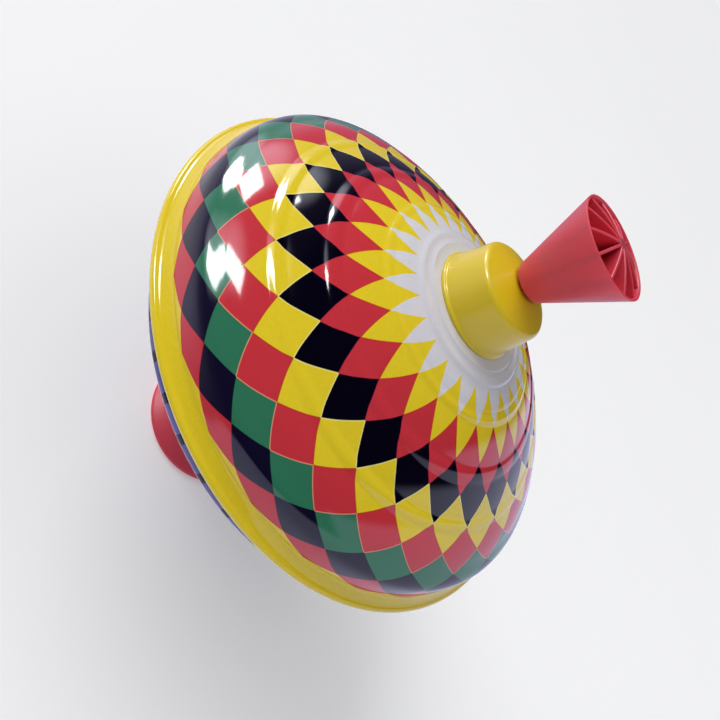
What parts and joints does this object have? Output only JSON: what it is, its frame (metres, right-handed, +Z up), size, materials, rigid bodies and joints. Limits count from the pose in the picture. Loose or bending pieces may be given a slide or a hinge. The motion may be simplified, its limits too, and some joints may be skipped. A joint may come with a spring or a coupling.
{
  "type": "spinning top",
  "caption": "Pump humming top: printed tin drum on a flared plastic foot, spun by pushing a ribbed knob on a twisted strip.",
  "frame": {"origin": "middle of the foot's flat base, on the surface the top stands on", "axes": "+Z up along the spin axis, from the foot to the knob; +X and +Y are free, since the outside is round"},
  "size_m": [0.19, 0.19, 0.2134],
  "materials": {
    "printed_tin": "gloss printed tinplate",
    "printed_tin_lower": "gloss printed tinplate",
    "yellow_plastic": "moulded, satin gloss",
    "red_plastic": "moulded, satin",
    "white_plastic": "moulded",
    "grey_plastic": "moulded",
    "steel": "bright rolled steel",
    "brass": "plain brass"
  },
  "bodies": {
    "foot": {"foot": "red_plastic", "pivot_pin": "steel", "thrust_washer": "white_plastic", "retaining_washer": "steel", "retaining_clip": "steel"},
    "drum": {"upper_shell": "printed_tin", "lower_shell": "printed_tin_lower", "collar": "yellow_plastic", "top_bush": "yellow_plastic", "clutch_housing": "white_plastic", "housing_ring": "steel", "clutch_ring": "grey_plastic", "clutch_cap": "white_plastic", "guide_tube": "steel", "lower_hub": "white_plastic", "hub_ring": "steel", "bearing_bush": "brass", "reed_disc": "steel", "reed_disc_ring": "steel", "reeds": "brass", "reed_rivets": "steel"},
    "plunger": {"knob": "red_plastic", "knob_pin": "steel", "spindle": "steel", "spindle_stop": "brass", "stop_pin": "steel"},
    "driver": {"driver_disc": "grey_plastic", "driver_plate": "steel"}
  },
  "joints": [
    {"name": "drum_spin", "type": "hinge", "parent": "foot", "child": "drum", "pos_m": [0, 0, 0.0365], "axis": [0, 0, 1], "continuous": true},
    {"name": "plunger_slide", "type": "slide", "parent": "drum", "child": "plunger", "axis": [0, 0, 1], "range_m": [0, 0.09]},
    {"name": "driver_turn", "type": "hinge", "parent": "drum", "child": "driver", "pos_m": [0, 0, 0.1718], "axis": [0, 0, 1], "continuous": true}
  ],
  "couplings": [
    {"joint": "driver_turn", "follows": "plunger_slide", "rad_per_m": -130.9}
  ]
}
